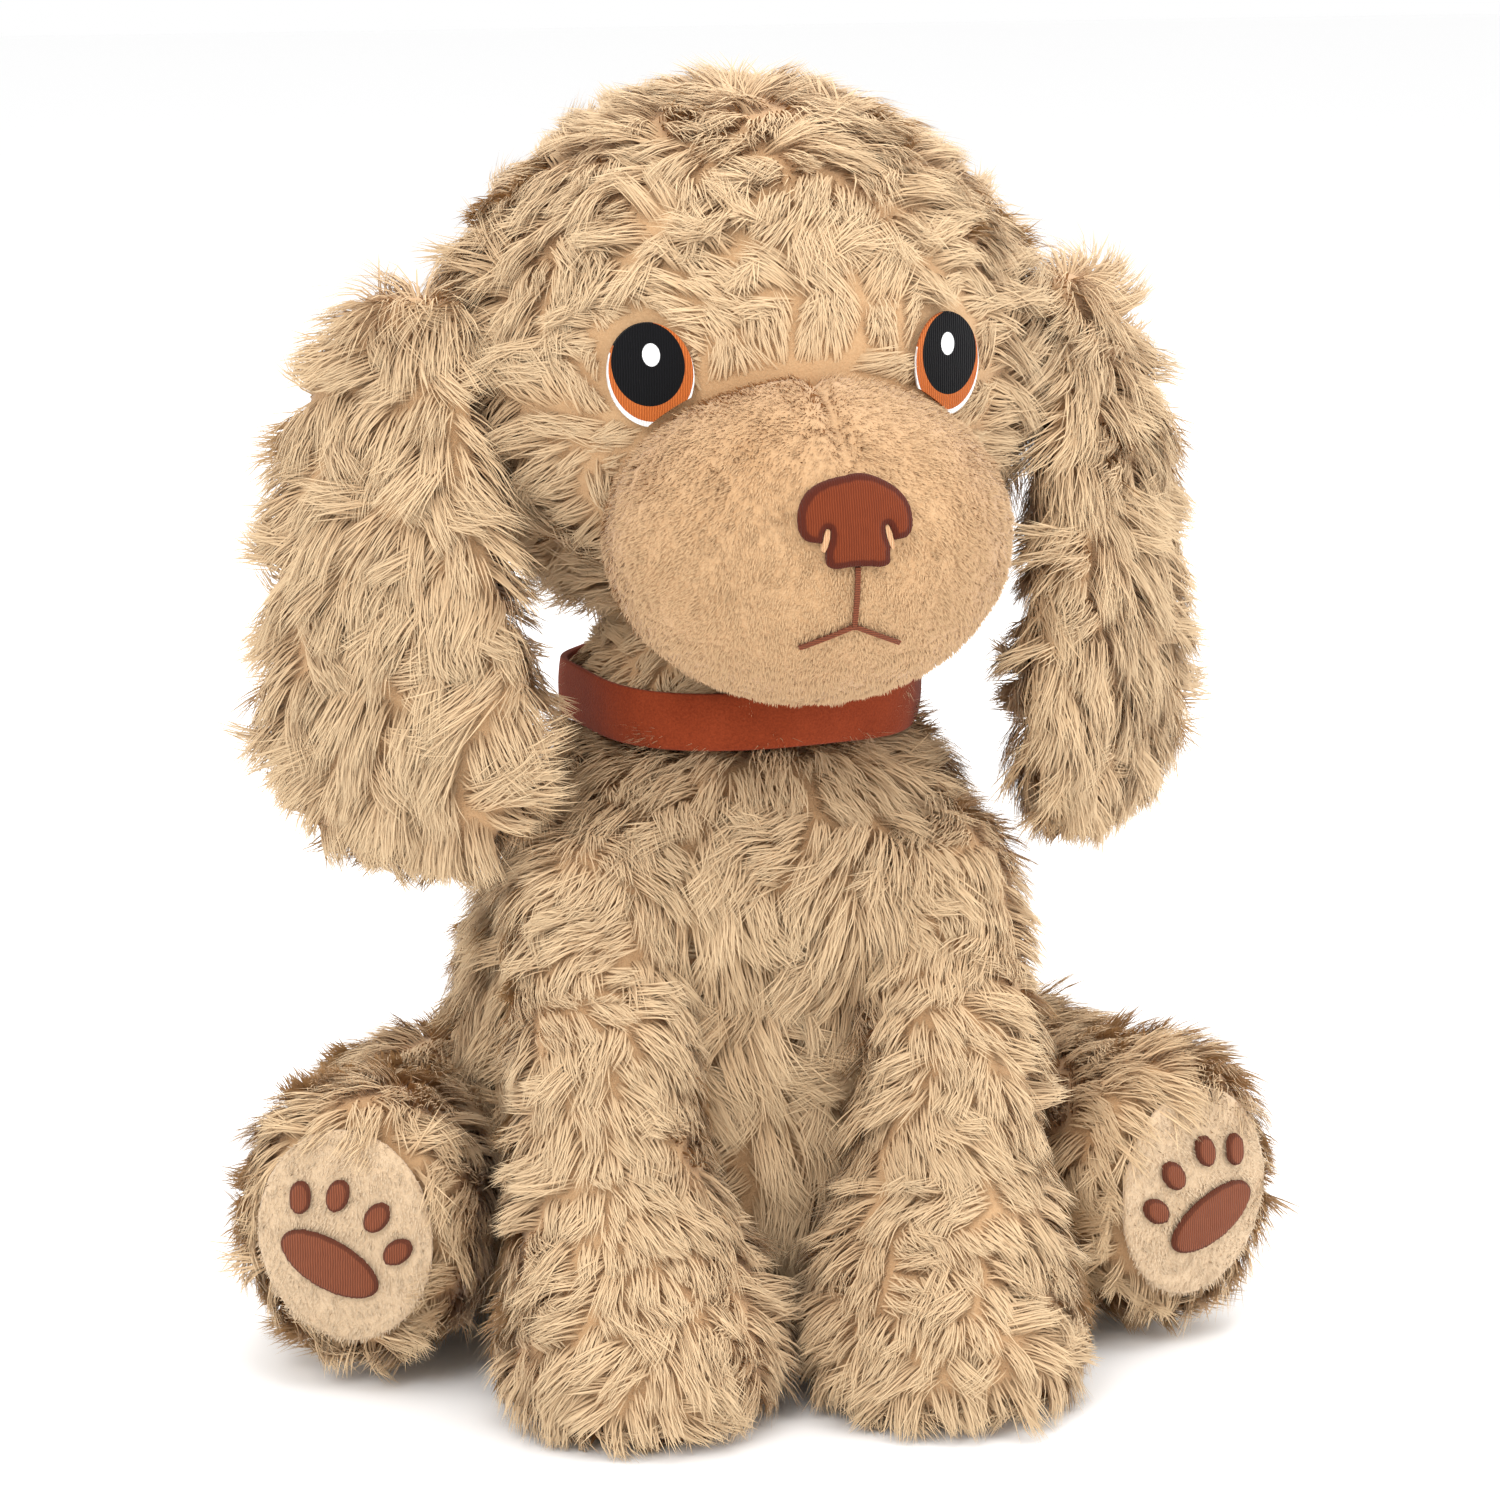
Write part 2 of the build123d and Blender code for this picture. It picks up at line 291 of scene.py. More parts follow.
def copy_of(nodes, name):
    """One new object from copies of CAD nodes."""
    copies = []
    for node in nodes:
        source = frame["nodes"][node]
        made = bpy.data.objects.new(name, source.data.copy())
        bpy.context.scene.collection.objects.link(made)
        copies.append(made)
    deselect()
    for made in copies:
        made.select_set(True)
    bpy.context.view_layer.objects.active = copies[0]
    if len(copies) > 1:
        bpy.ops.object.join()
    thing = bpy.context.object
    thing.name = name
    thing.data.materials.clear()
    return thing


def largest_part(thing):
    """Keeps only the biggest of a mesh's separate shells."""
    pick(thing)
    bpy.ops.object.mode_set(mode="EDIT")
    bpy.ops.mesh.select_all(action="SELECT")
    bpy.ops.mesh.separate(type="LOOSE")
    bpy.ops.object.mode_set(mode="OBJECT")
    found = list(bpy.context.selected_objects)
    found.sort(key=lambda o: -sum(np.ptp([v.co[:] for v in o.data.vertices], axis=0)))
    for other in found[1:]:
        bpy.data.objects.remove(other)
    return found[0]


def coat(name, nodes, voxel=0.003, grow=0.0, smooth=6, full=False):
    """A padded body made from the filling's shape, remeshed and smoothed; full closes its hollows."""
    thing = copy_of(nodes, name)
    if full:
        pick(thing)
        bpy.ops.object.mode_set(mode="EDIT")
        bpy.ops.mesh.select_all(action="SELECT")
        bpy.ops.mesh.convex_hull()
        bpy.ops.object.mode_set(mode="OBJECT")
    apply_modifier(thing, "REMESH", mode="VOXEL", voxel_size=voxel)
    thing = largest_part(thing)
    thing.name = name
    apply_modifier(thing, "SMOOTH", factor=0.5, iterations=smooth)
    if grow:
        apply_modifier(thing, "DISPLACE", strength=grow, mid_level=0.0)
    pick(thing)
    bpy.ops.object.shade_smooth()
    return thing


def mesh_points(mesh):
    points = np.empty(len(mesh.vertices) * 3)
    mesh.vertices.foreach_get("co", points)
    return points.reshape(-1, 3)


def vertex_normals(mesh):
    normals = np.empty(len(mesh.vertices) * 3)
    mesh.vertices.foreach_get("normal", normals)
    return normals.reshape(-1, 3)


def set_points(thing, points):
    thing.data.vertices.foreach_set("co", points.ravel())
    thing.data.update()


# ---- pile ------------------------------------------------------------------------------
def flat_noise(points, scale, seed):
    """A smooth value between -1 and 1 for each point."""
    shift = Vector((seed * 17.3, seed * 5.1, seed * 9.7))
    return np.array([noise.noise(Vector(p) * scale + shift) for p in points])


def unit(v):
    return v / np.maximum(np.linalg.norm(v, axis=1, keepdims=True), 1e-9)


def tangent(v, normal):
    return unit(v - normal * np.sum(v * normal, axis=1, keepdims=True))


def turned(v, normal, angle):
    c, s = np.cos(angle)[:, None], np.sin(angle)[:, None]
    return v * c + np.cross(normal, v) * s


def scatter(mesh, count, rng):
    """Random points on a mesh, even by area, with the surface's smooth normal."""
    mesh.calc_loop_triangles()
    tris = np.empty(len(mesh.loop_triangles) * 3, dtype=np.int32)
    mesh.loop_triangles.foreach_get("vertices", tris)
    tris = tris.reshape(-1, 3)
    points = mesh_points(mesh)
    normals = vertex_normals(mesh)
    a, b, c = points[tris[:, 0]], points[tris[:, 1]], points[tris[:, 2]]
    area = np.linalg.norm(np.cross(b - a, c - a), axis=1)
    chosen = rng.choice(len(tris), size=count, p=area / area.sum())
    u, v = rng.random(count), rng.random(count)
    over = u + v > 1
    u[over], v[over] = 1 - u[over], 1 - v[over]
    w = 1 - u - v
    t = tris[chosen]
    spot = points[t[:, 0]] * w[:, None] + points[t[:, 1]] * u[:, None] + points[t[:, 2]] * v[:, None]
    normal = normals[t[:, 0]] * w[:, None] + normals[t[:, 1]] * u[:, None] + normals[t[:, 2]] * v[:, None]
    return spot, unit(normal)


def mesh_area(mesh):
    return sum(p.area for p in mesh.polygons)


def hair_mesh(name, points, widths, across, normal, tone):
    """Ribbons that taper to a point. points is hairs by steps by 3; the last step is the tip."""
    hairs, steps = points.shape[0], points.shape[1]
    pairs = steps - 1
    per = pairs * 2 + 1
    verts = np.empty((hairs, per, 3))
    for k in range(pairs):
        half = across * widths[k][:, None] / 2
        verts[:, 2 * k] = points[:, k] - half
        verts[:, 2 * k + 1] = points[:, k] + half
    verts[:, per - 1] = points[:, steps - 1]
    start = np.arange(hairs) * per
    loops, sizes, along = [], [], []
    for k in range(pairs - 1):
        o = 2 * k
        loops.append(np.stack([start + o, start + o + 1, start + o + 3, start + o + 2], 1))
        along.append([k, k, k + 1, k + 1])
    quads = pairs - 1
    o = 2 * (pairs - 1)
    last = np.stack([start + o, start + o + 1, start + per - 1], 1)
    index = np.concatenate(loops + [last], axis=1).ravel() if loops else last.ravel()
    sizes = np.tile(np.array([4] * quads + [3], dtype=np.int32), hairs)
    begins = np.concatenate([[0], np.cumsum(sizes)[:-1]]).astype(np.int32)
    level = np.array([v for four in along for v in four] + [pairs - 1, pairs - 1, pairs]) / pairs
    mesh = bpy.data.meshes.new(name)
    mesh.vertices.add(hairs * per)
    mesh.vertices.foreach_set("co", verts.ravel())
    mesh.loops.add(len(index))
    mesh.loops.foreach_set("vertex_index", index.astype(np.int32))
    mesh.polygons.add(len(sizes))
    mesh.polygons.foreach_set("loop_start", begins)
    mesh.update(calc_edges=True)
    uv = np.empty((hairs, len(level), 2))
    uv[:, :, 0] = tone[:, None]
    uv[:, :, 1] = level[None, :]
    layer = mesh.uv_layers.new(name="Hair")
    layer.data.foreach_set("uv", uv.ravel())
    shading = np.repeat(normal[:, None, :], per, axis=1).reshape(-1, 3)
    mesh.polygons.foreach_set("use_smooth", np.ones(len(sizes), dtype=bool))
    mesh.normals_split_custom_set_from_vertices(shading.astype(np.float32))
    return mesh


def grow_pile(name, skin, paint, comb, per_mm2=2.1, length=11.0, tuft=5.0, lift=0.38, width=0.36, seed=1,
              keep=None, factor=None, wander=0.9, gather=0.62, steps=4, floor=0.0002):
    """Pile on a coat. comb gives each root's lie; tufts share a direction and lean together."""
    rng = np.random.default_rng(seed)
    amount = 1.0
    count = int(mesh_area(skin.data) * 1e6 * per_mm2 * amount)
    root, normal = scatter(skin.data, count, rng)
    if keep is not None:
        chosen = keep(root, normal)
        root, normal = root[chosen], normal[chosen]
    count = len(root)
    size = length * MM * rng.uniform(0.75, 1.12, count)
    if factor is not None:
        size *= factor(root)
    centres = root[rng.choice(count, max(4, int(count / (per_mm2 * amount * tuft ** 2))), replace=False)]
    tree = kdtree.KDTree(len(centres))
    for i, p in enumerate(centres):
        tree.insert(p, i)
    tree.balance()
    tuft_of = np.array([tree.find(p)[1] for p in root])
    swirl = flat_noise(centres, 75.0, seed) * 2.4 + rng.normal(0, 0.35, len(centres)) * wander
    height = 1 + 0.35 * flat_noise(centres, 160.0, seed + 3) + rng.normal(0, 0.12, len(centres))
    raise_up = rng.normal(0, 0.16, len(centres))
    bend = rng.normal(0, 0.5, len(centres)) * wander
    lie = tangent(comb(root, normal), normal)
    lie = turned(lie, normal, swirl[tuft_of] * wander + rng.normal(0, 0.13, count))
    size *= np.clip(height[tuft_of], 0.5, 1.5)
    up = np.clip(lift + raise_up[tuft_of] + rng.normal(0, 0.08, count), 0.12, 1.2)
    reach = lie * np.cos(up)[:, None] + normal * np.sin(up)[:, None]
    tip = root + reach * size[:, None]
    centre_shift = centres[tuft_of] - root
    centre_shift -= normal * np.sum(centre_shift * normal, axis=1, keepdims=True)
    tip += centre_shift * gather
    side = np.cross(normal, lie)
    tip += side * (bend[tuft_of] * size * 0.35)[:, None]
    knee = root + normal * (size * 0.36)[:, None] + lie * (size * 0.22)[:, None] + centre_shift * gather * 0.3
    sink = root - normal * 0.0006
    ts = np.linspace(0, 1, steps)
    points = np.stack([
        sink * (1 - t) ** 2 + knee * (2 * t * (1 - t)) + tip * t ** 2 for t in ts
    ], axis=1)
    points[:, :, 2] = np.maximum(points[:, :, 2], floor)
    run = unit(tip - root)
    across = unit(np.cross(run, normal) + 0.25 * rng.normal(0, 1, (count, 3)))
    wide = width * MM * rng.uniform(0.7, 1.3, count)
    widths = [wide * (1 - 0.55 * (k / (steps - 1)) ** 1.4) for k in range(steps - 1)]
    facing = unit(np.cross(across, run))
    facing *= np.sign(np.sum(facing * normal, axis=1, keepdims=True))
    patch = flat_noise(centres, 55.0, seed + 7)
    tone = np.clip(0.5 + 0.22 * patch[tuft_of] + rng.normal(0, 0.17, count), 0.02, 0.98)
    shading = unit(normal * 0.9 + facing * 0.15 + rng.normal(0, 0.04, (count, 3)))
    mesh = hair_mesh(name, points, widths, across, shading, tone)
    mesh.materials.append(paint)
    fur = bpy.data.objects.new(name, mesh)
    bpy.context.scene.collection.objects.link(fur)
    return fur


# ---- the toy's own places ------------------------------------------------------------
neck = np.array(joints["head_nod"]["pos_m"])
turn = math.atan2(joints["head_nod"]["axis"][1], joints["head_nod"]["axis"][0])
MUZZLE_DEPTH = 0.033
muzzle_low, muzzle_high = (np.array(v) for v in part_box("muzzle_skin"))
muzzle_half = (muzzle_high - muzzle_low) / 2
muzzle_half[1] = MUZZLE_DEPTH
muzzle_middle = (muzzle_low + muzzle_high) / 2
muzzle_middle[1] = muzzle_low[1] + MUZZLE_DEPTH
eyes = [box_middle("eye_iris_" + word) for word, _ in SIDES]
CHEST_SWELL = 0.015       # how far the chest stands out over the shoulders
CREASE_HALF = 0.019       # the crown strip's half width
BELLY_EDGE = -0.004       # chest and back pile meet here
NECK_CLEAR = 0.030        # no head pile this near the neck's pivot
EYE_CLEAR = np.array([0.0082, 0.0, 0.0102])
DOWN = np.array([0.0, 0.0, -1.0])


def head_turned(points, back=False):
    """Points turned with the set of the head, or turned back to face straight ahead."""
    angle = -turn if back else turn
    c, s = math.cos(angle), math.sin(angle)
    out = np.array(points, dtype=float)
    x, y = out[..., 0] - neck[0], out[..., 1] - neck[1]
    out[..., 0] = neck[0] + x * c - y * s
    out[..., 1] = neck[1] + x * s + y * c
    return out


def muzzle_reach(points):
    """How many muzzle sizes a point is from the muzzle's middle; 1 is its surface."""
    away = head_turned(points, True) - head_turned(muzzle_middle, True)
    return np.linalg.norm(away / muzzle_half, axis=1)


def eye_reach(points):
    """The same for the nearer eye, measured across the face."""
    reach = np.full(len(points), 99.0)
    straight = head_turned(points, True)
    for eye in eyes:
        away = straight - head_turned(eye, True)
        near = np.hypot(away[:, 0] / EYE_CLEAR[0], away[:, 2] / EYE_CLEAR[2])
        near[away[:, 1] > 0.02] = 99.0
        reach = np.minimum(reach, near)
    return reach


def head_comb(root, normal):
    away = unit(root - muzzle_middle)
    near = np.clip(2.2 - muzzle_reach(root), 0, 1)[:, None]
    return away * near + DOWN * (1.05 - near) + np.array([0, 0.25, 0])


def head_keep(root, normal):
    clear = (muzzle_reach(root) > 1.0) & (eye_reach(root) > 1.0)
    return clear & (np.linalg.norm(root - neck, axis=1) > NECK_CLEAR)


def head_factor(root):
    by_muzzle = np.clip(0.35 + (muzzle_reach(root) - 1.0) * 1.3, 0.35, 1)
    by_eye = np.clip(0.30 + (eye_reach(root) - 1.0) * 0.9, 0.30, 1)
    low = 1 + 0.8 * np.clip((0.172 - root[:, 2]) / 0.03, 0, 1)
    side = 1 + 0.7 * np.clip((np.abs(root[:, 0]) - 0.040) / 0.012, 0, 1)
    return np.minimum(by_muzzle, by_eye) * low * side


def body_comb(root, normal):
    outwards = root * np.array([1, 1, 0])
    return DOWN + unit(outwards) * 0.25


def off_the_floor(root, normal):
    return ~((root[:, 2] < 0.0035) & (normal[:, 2] < -0.3))


def pressed(root):
    """Shorter pile where a foot stands on the floor."""
    return np.clip(0.4 + (root[:, 2] - 0.0035) / 0.006, 0.4, 1)


def leg_comb(centre):
    def comb(root, normal):
        out = unit((root - centre) * np.array([1, 1, 0]))
        low = np.clip((0.035 - root[:, 2]) / 0.02, 0, 1)[:, None]
        return DOWN * (1 - 0.5 * low) + out * 0.8 * low
    return comb


# ---- colours ---------------------------------------------------------------------------
# Each pile's first colour is its root, darkened as painted shade deep in the pile; middle and tip are the
# fur's own colours.
FUR_ROOT_SHADE = srgb(197, 161, 121)
FUR_MIDDLE = srgb(206, 175, 137)
FUR_TIP = srgb(214, 187, 150)
long_pile = fur_paint("long_pile", FUR_ROOT_SHADE, FUR_MIDDLE, FUR_TIP)
muzzle_pile = fur_paint("muzzle_pile", srgb(186, 147, 106), srgb(196, 159, 119), srgb(204, 169, 129), 0.05)
sole_pile = fur_paint("sole_pile", srgb(198, 171, 138), srgb(210, 184, 152), srgb(218, 194, 163), 0.06)
backing = cloth_paint("pile_backing", srgb(184, 146, 106), srgb(200, 163, 122))
muzzle_cloth = cloth_paint("muzzle_cloth", srgb(186, 147, 106), srgb(202, 166, 126))
sole_cloth = cloth_paint("sole_cloth", srgb(198, 171, 138), srgb(214, 188, 156))
fibre = cloth_paint("polyester_fibre", srgb(225, 225, 225), srgb(245, 245, 245), 0.95, 0.2, 900.0)
pellet_cloth = cloth_paint("pellet_cloth", srgb(215, 213, 205), srgb(232, 230, 224), 0.9, 0.1, 1500.0)
velour = cloth_paint("collar_velour", srgb(116, 44, 20), srgb(144, 62, 33), 1.0, 0.1, 2600.0)
nose_thread = thread_paint(
    "nose_thread", srgb(98, 38, 15), srgb(128, 58, 28), roughness=0.8, edge=srgb(84, 32, 16))
pad_thread = thread_paint(
    "pad_thread", srgb(98, 50, 32), srgb(138, 78, 52), roughness=0.7, edge=srgb(96, 50, 33))
black_thread = thread_paint("black_thread", srgb(5, 5, 7), srgb(12, 12, 15), roughness=0.9)
iris_thread = thread_paint("iris_thread", srgb(158, 76, 28), srgb(200, 108, 48), roughness=0.6)
white_thread = thread_paint("white_thread", srgb(225, 225, 225), srgb(255, 255, 255))
beige_thread = thread_paint("beige_thread", srgb(190, 140, 100), srgb(220, 176, 134))
mouth_thread = thread_paint("mouth_thread", srgb(96, 48, 30), srgb(130, 70, 44), (0, 0, 1))


# ---- making the pieces -----------------------------------------------------------------
def dress(node, paint):
    """A CAD node that stays gets its finish."""
    thing = frame["nodes"][node]
    if not thing.material_slots:
        thing.data.materials.append(paint)
    for place in thing.material_slots:
        place.material = paint


def finish_coat(thing, paint, body, slot, fill, *nodes):
    thing.data.materials.clear()
    thing.data.materials.append(paint)
    if nodes:
        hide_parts(*nodes)


def make_torso():
    skin = coat("torso_cloth", ["torso_stuffing"], 0.004, 0.0006, full=True)
    points = mesh_points(skin.data)
    high = np.exp(-((points[:, 2] - 0.098) / 0.018) ** 2)
    wide = np.clip(1 - (points[:, 0] / 0.056) ** 4, 0, 1)
    yoke = 0.5 + 0.5 * np.clip(np.abs(points[:, 0]) / 0.030, 0, 1) ** 2
    front = np.clip((-points[:, 1] + 0.006) / 0.015, 0, 1)
    points[:, 1] -= CHEST_SWELL * high * wide * yoke * front
    set_points(skin, points)
    finish_coat(skin, backing, "torso", "long_pile_plush", 0.8, "belly_panel",
                "back_panel_left", "back_panel_right", "torso_stuffing")
    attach(skin, "torso")
    regions = {
        "chest_pile": lambda p: p[:, 1] < BELLY_EDGE,
        "back_pile_left": lambda p: (p[:, 1] >= BELLY_EDGE) & (p[:, 0] >= 0),
        "back_pile_right": lambda p: (p[:, 1] >= BELLY_EDGE) & (p[:, 0] < 0),
    }
    for seed, (name, inside) in enumerate(regions.items()):
        fur = grow_pile(name, skin, long_pile, body_comb, seed=11 + seed, length=12.5,
                        keep=lambda p, n, inside=inside: inside(p) & off_the_floor(p, n) & (p[:, 2] < 0.1215))
        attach(fur, "torso")


def make_neck():
    skin = coat("neck_cloth", ["neck_stuffing"], 0.003, 0.0006)
    finish_coat(skin, backing, "neck", "long_pile_plush", 0.8, "neck_skin", "neck_stuffing")
    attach(skin, "neck")
    fur = grow_pile("neck_pile", skin, long_pile, body_comb, seed=21, length=5.5,
                    keep=lambda p, n: (p[:, 2] > 0.1325) & (p[:, 2] < 0.148))
    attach(fur, "neck")


def make_head():
    skin = coat("head_cloth", ["head_stuffing"], 0.004, 0.0006)
    finish_coat(skin, backing, "head", "long_pile_plush", 0.8, "head_gusset",
                "head_side_left", "head_side_right", "head_stuffing")
    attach(skin, "head")
    regions = {
        "crown_pile": lambda p: np.abs(head_turned(p, True)[:, 0]) < CREASE_HALF,
        "cheek_pile_left": lambda p: head_turned(p, True)[:, 0] >= CREASE_HALF,
        "cheek_pile_right": lambda p: head_turned(p, True)[:, 0] <= -CREASE_HALF,
    }
    for seed, (name, inside) in enumerate(regions.items()):
        fur = grow_pile(name, skin, long_pile, head_comb, seed=31 + seed, length=9.5,
                        wander=1.1, factor=head_factor,
                        keep=lambda p, n, inside=inside: inside(p) & head_keep(p, n))
        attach(fur, "head")


def muzzle_keep(root, normal):
    """All of the muzzle but its back, the seam down its top and the embroidery."""
    straight = head_turned(root, True) - head_turned(muzzle_middle, True)
    seam = (np.abs(straight[:, 0]) < 0.0005) & (straight[:, 2] > 0.018)
    nose = head_turned(box_middle("nose"), True) - head_turned(muzzle_middle, True)
    under_nose = np.hypot((straight[:, 0] - nose[0]) / 0.0098, (straight[:, 2] - nose[2]) / 0.0072) < 1
    return (straight[:, 1] < 0.024) & ~seam & ~(under_nose & (straight[:, 1] < 0))


def make_muzzle():
    skin = coat("muzzle_cloth", ["muzzle_stuffing"], 0.0014, 0.0012, 8)
    points = mesh_points(skin.data)
    straight = head_turned(points, True) - head_turned(muzzle_middle, True)
    dart = np.exp(-(straight[:, 0] / 0.0016) ** 2) * np.clip((straight[:, 2] - 0.016) / 0.008, 0, 1)
    points -= unit(straight) * (dart * 0.0018)[:, None]
    set_points(skin, points)
    finish_coat(skin, muzzle_cloth, "head", "short_pile_plush", 0.8, "muzzle_skin", "muzzle_stuffing")
    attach(skin, "head")

    def comb(root, normal):
        return DOWN + unit(root - muzzle_middle) * np.array([1, 0, 1])

    fur = grow_pile("muzzle_pile", skin, muzzle_pile, comb, per_mm2=4.0, length=1.5, tuft=2.0,
                    lift=0.6, width=0.3, wander=0.35, gather=0.1, steps=3, seed=41, keep=muzzle_keep)
    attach(fur, "head")


def make_ears():
    for word, side in SIDES:
        body = "ear_" + word
        skin = coat("ear_cloth_" + word, ["ear_front_" + word, "ear_lining_" + word], 0.0025, -0.0006)
        finish_coat(skin, backing, body, "long_pile_plush", 0.4, "ear_front_" + word, "ear_lining_" + word)
        middle = box_middle("ear_front_" + word)
        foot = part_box("ear_front_" + word)[0][2]

        def comb(root, normal, middle=middle):
            return DOWN + (root - middle) * np.array([1, 1, 0]) * 38

        def shorter(root, foot=foot):
            return np.clip(0.55 + (root[:, 2] - foot) / 0.04, 0.55, 1)

        fur = grow_pile("ear_pile_" + word, skin, long_pile, comb, seed=51 + (side > 0),
                        length=12.0, factor=shorter)
        for thing in (skin, fur):
            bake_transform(thing)


def make_front_legs():
    for word, side in SIDES:
        body = "front_leg_" + word
        skin = coat("front_leg_cloth_" + word, ["front_leg_stuffing_" + word], 0.0035, 0.0006)
        finish_coat(skin, backing, body, "long_pile_plush", 0.7, "front_leg_outer_" + word,
                    "front_leg_inner_" + word, "front_leg_stuffing_" + word)
        low, high = (np.array(v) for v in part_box("front_leg_stuffing_" + word))
        centre = np.array([(low[0] + high[0]) / 2, low[1] + 0.028, 0])
        fur = grow_pile("front_leg_pile_" + word, skin, long_pile, leg_comb(centre),
                        seed=61 + (side > 0), length=8.5, tuft=4.2, lift=0.42, factor=pressed)
        for thing in (skin, fur):
            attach(thing, body)


def make_hind_legs():
    for word, side in SIDES:
        body = "hind_leg_" + word
        skin = coat("hind_leg_cloth_" + word, ["hind_leg_stuffing_" + word], 0.0035, 0.0006)
        finish_coat(skin, backing, body, "long_pile_plush", 0.7, "hind_leg_outer_" + word,
                    "hind_leg_inner_" + word, "hind_leg_stuffing_" + word)
        hip = np.array(joints["hind_leg_%s_lift" % word]["pos_m"])
        sole = box_middle("hind_sole_" + word)
        facing = unit(((sole - hip) * np.array([1, 1, 0]))[None])[0]

        def keep(root, normal, sole=sole, facing=facing):
            flat = (root - sole) @ facing > -0.004
            middle = np.linalg.norm((root - sole) * np.array([1.15, 1.15, 1]), axis=1) < 0.0195
            return ~(flat & middle)

        def comb(root, normal, sole=sole, facing=facing):
            return facing * 0.9 + DOWN * 0.35 + unit(root - sole) * 0.5

        fur = grow_pile("hind_leg_pile_" + word, skin, long_pile, comb, seed=71 + (side > 0),
                        length=9.5, tuft=4.5, keep=keep, factor=pressed)
        for thing in (skin, fur):
            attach(thing, body)
        make_sole(word, body, sole, facing)


def domed(thing, middle, facing, radius, rise):
    """Swells a flat piece outwards round a middle."""
    points = mesh_points(thing.data)
    off = points - middle
    off -= np.outer(off @ facing, facing)
    far = np.linalg.norm(off, axis=1) / radius
    points += np.outer(np.clip(1 - far ** 2, -0.3, 1) * rise, facing)
    set_points(thing, points)


def pillow(thing, facing, reach, rise):
    """Swells stitching between its edges and notes how far in each point lies."""
    points = mesh_points(thing.data)
    turned_to = vertex_normals(thing.data) @ facing
    front = turned_to > 0.6
    rim = points[(turned_to > -0.3) & ~front]
    tree = kdtree.KDTree(len(rim))
    for i, spot in enumerate(rim):
        tree.insert(spot, i)
    tree.balance()
    inwards = np.zeros(len(points))
    inwards[front] = [min(1.0, tree.find(spot)[2] / reach) for spot in points[front]]
    points += np.outer(np.sqrt(inwards) * rise, facing)
    set_points(thing, points)
    corner = np.empty(len(thing.data.loops), dtype=np.int32)
    thing.data.loops.foreach_get("vertex_index", corner)
    layer = thing.data.uv_layers.new(name="Edge")
    layer.data.foreach_set("uv", np.stack([inwards[corner], inwards[corner]], 1).ravel())


def make_sole(word, body, middle, facing):
    base = coat("sole_" + word, ["hind_sole_" + word], 0.0007, 0.0, 4)
    domed(base, middle, facing, 0.021, 0.0022)
    finish_coat(base, sole_cloth, body, "sole_plush", 0.5, "hind_sole_" + word)
    fuzz = grow_pile("sole_pile_" + word, base, sole_pile, lambda p, n: DOWN + 0 * p, per_mm2=3.0, length=1.3,
                     tuft=2.0, lift=0.8, width=0.3, wander=0.4, gather=0.1, steps=3, seed=81,
                     keep=lambda p, n: n @ facing > 0.2)
    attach(base, body)
    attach(fuzz, body)
    for node in ("hind_main_pad_", "hind_toe_pads_"):
        pad = copy_of([node + word], node.replace("hind_", "") + "stitched_" + word)
        apply_modifier(pad, "REMESH", mode="VOXEL", voxel_size=0.0004)
        apply_modifier(pad, "SMOOTH", factor=0.5, iterations=3)
        domed(pad, middle, facing, 0.021, 0.0022 + 0.0005)
        pillow(pad, facing, 0.0010, 0.0006)
        pad.data.materials.clear()
        pad.data.materials.append(pad_thread)
        pick(pad)
        bpy.ops.object.shade_smooth()
        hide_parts(node + word)
        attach(pad, body)


def make_tail():
    skin = coat("tail_cloth", ["tail_stuffing"], 0.003, 0.0006)
    finish_coat(skin, backing, "tail", "long_pile_plush", 0.7, "tail_skin", "tail_stuffing")

    def comb(root, normal):
        return np.array([0, 1.0, 0.3]) + 0 * root

    fur = grow_pile("tail_pile", skin, long_pile, comb, seed=91, length=9.0, keep=off_the_floor)
    for thing in (skin, fur):
        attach(thing, "tail")


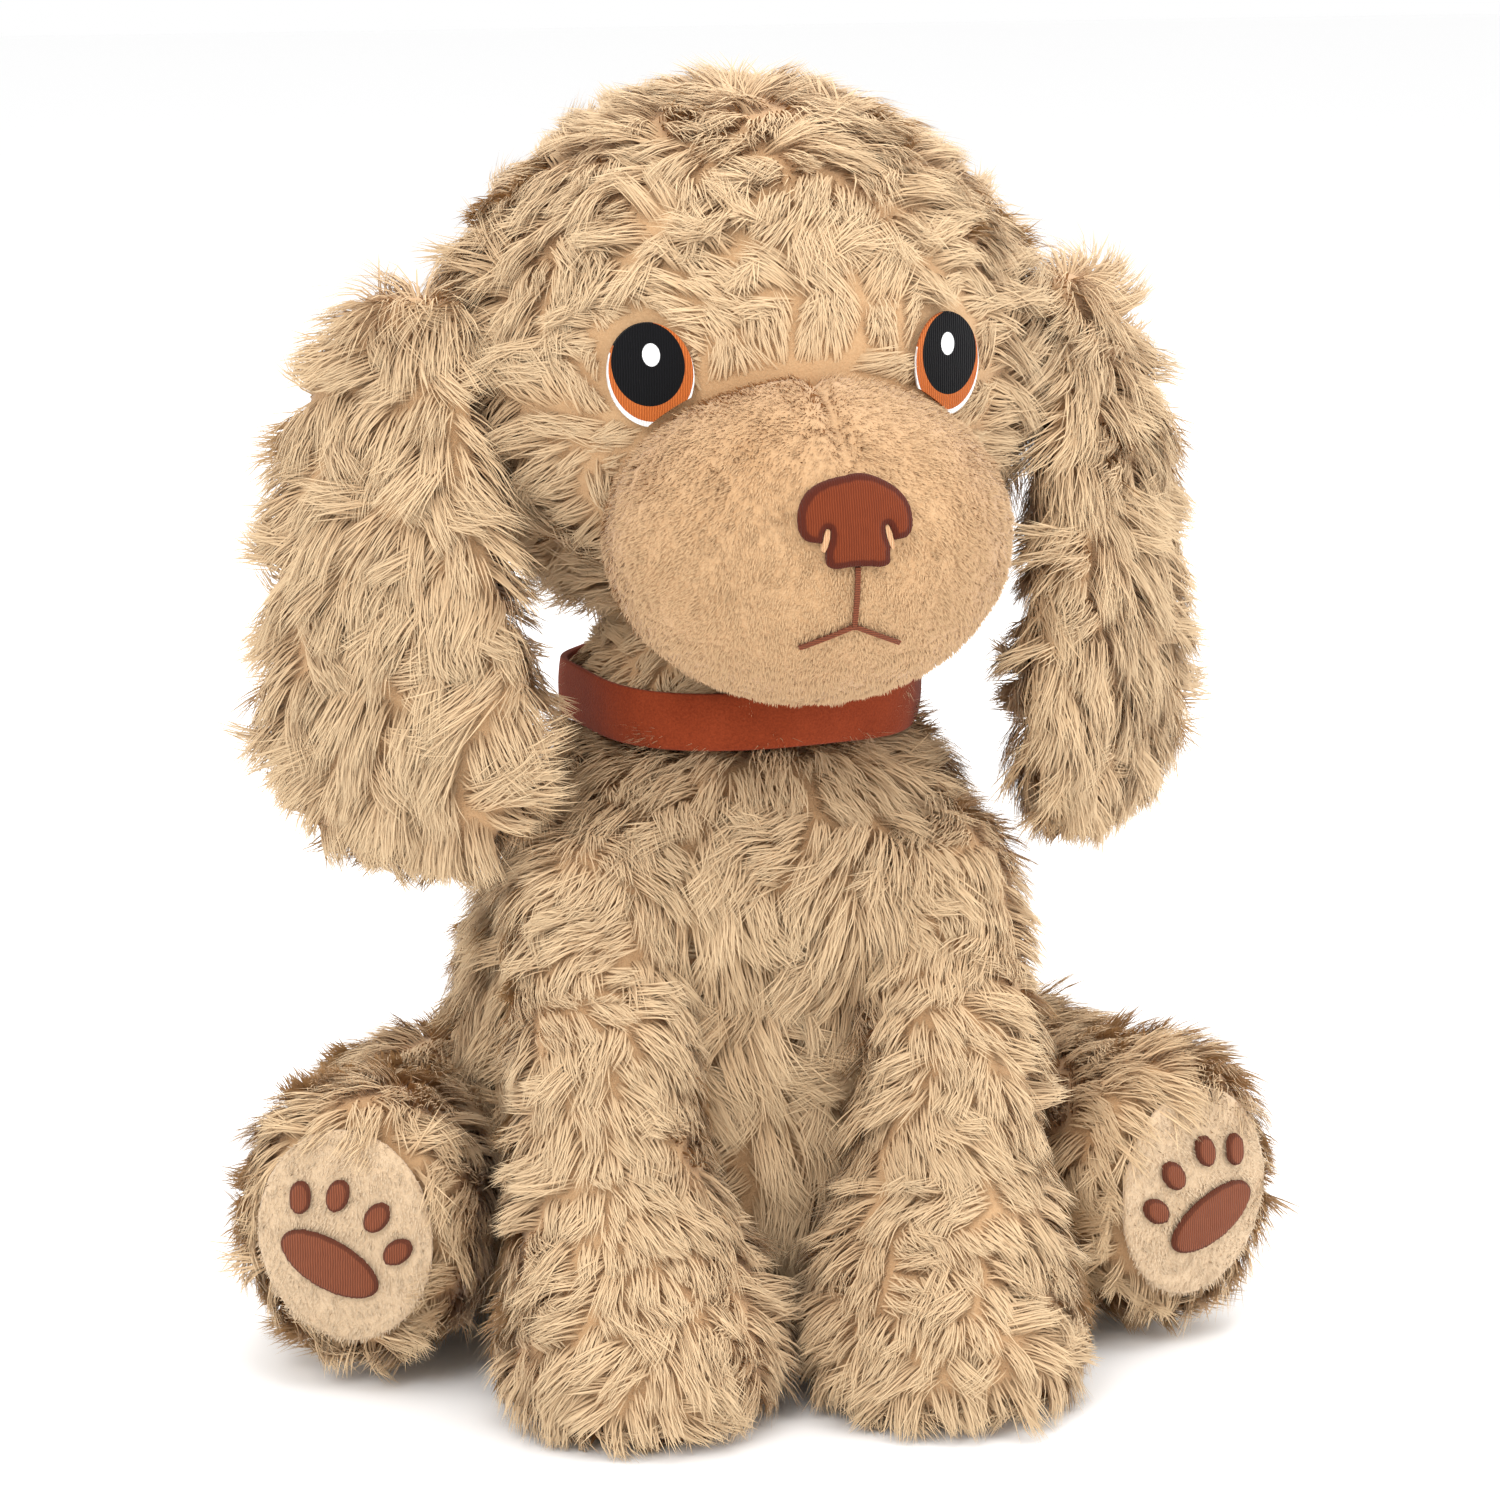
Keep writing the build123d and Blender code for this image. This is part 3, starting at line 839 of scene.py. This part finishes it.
def make_collar():
    """A velour band sewn into a ring, a little wavy where the chin and chest press on it."""
    low, high = (np.array(v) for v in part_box("collar"))
    radius = (high[0] - low[0]) / 2 - 0.0009
    height = high[2] - low[2]
    middle = (low + high) / 2
    deselect()
    bpy.ops.mesh.primitive_cylinder_add(vertices=160, radius=radius, depth=height, end_fill_type="NOTHING",
                                        location=tuple(middle))
    band = bpy.context.object
    band.name = "collar_band"
    bpy.ops.object.transform_apply(location=True, rotation=True, scale=True)
    pick(band)
    bpy.ops.object.mode_set(mode="EDIT")
    bpy.ops.mesh.select_all(action="SELECT")
    bpy.ops.mesh.subdivide(number_cuts=6, quadcorner="INNERVERT")
    bpy.ops.object.mode_set(mode="OBJECT")
    points = mesh_points(band.data)
    off = points - middle
    angle = np.arctan2(off[:, 1], off[:, 0])
    level = off[:, 2] / (height / 2)
    swell = 0.0006 * np.sin(3 * angle + 0.6) + 0.0004 * np.sin(7 * angle) + 0.0005 * (1 - level ** 2)
    points[:, :2] += off[:, :2] / radius * swell[:, None]
    points[:, 2] += 0.0005 * np.sin(4 * angle + 1.0)
    set_points(band, points)
    apply_modifier(band, "SOLIDIFY", thickness=0.0014, offset=0.0)
    apply_modifier(band, "BEVEL", width=0.0004, segments=2, limit_method="ANGLE")
    pick(band)
    bpy.ops.object.shade_smooth()
    band.data.materials.append(velour)
    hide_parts("collar")
    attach(band, "neck")


def make_nose():
    nose = copy_of(["nose"], "nose_stitched")
    apply_modifier(nose, "REMESH", mode="VOXEL", voxel_size=0.00035)
    apply_modifier(nose, "SMOOTH", factor=0.5, iterations=5)
    pillow(nose, unit((box_middle("nose") - np.array([0, 0.03, 0]) - muzzle_middle)[None])[0], 0.0018, 0.0009)
    nose.data.materials.clear()
    nose.data.materials.append(nose_thread)
    pick(nose)
    bpy.ops.object.shade_smooth()
    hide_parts("nose")
    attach(nose, "head")


add_camera()
add_stage()
make_torso()
make_neck()
make_collar()
make_head()
make_muzzle()
make_nose()
make_ears()
make_front_legs()
make_hind_legs()
make_tail()

finishes = {
    "long_pile_plush": backing, "short_pile_plush": muzzle_cloth,
    "sole_plush": sole_cloth, "collar_velour": velour,
    "nose_thread": nose_thread, "nostril_thread": beige_thread, "mouth_thread": mouth_thread,
    "white_thread": white_thread, "iris_thread": iris_thread,
    "black_thread": black_thread, "pad_thread": pad_thread,
    "polyester_fill": fibre, "pellet_cloth": pellet_cloth,
}
for part in record["subparts"]:
    dress(part["node"], finishes[part["material_slot"]])
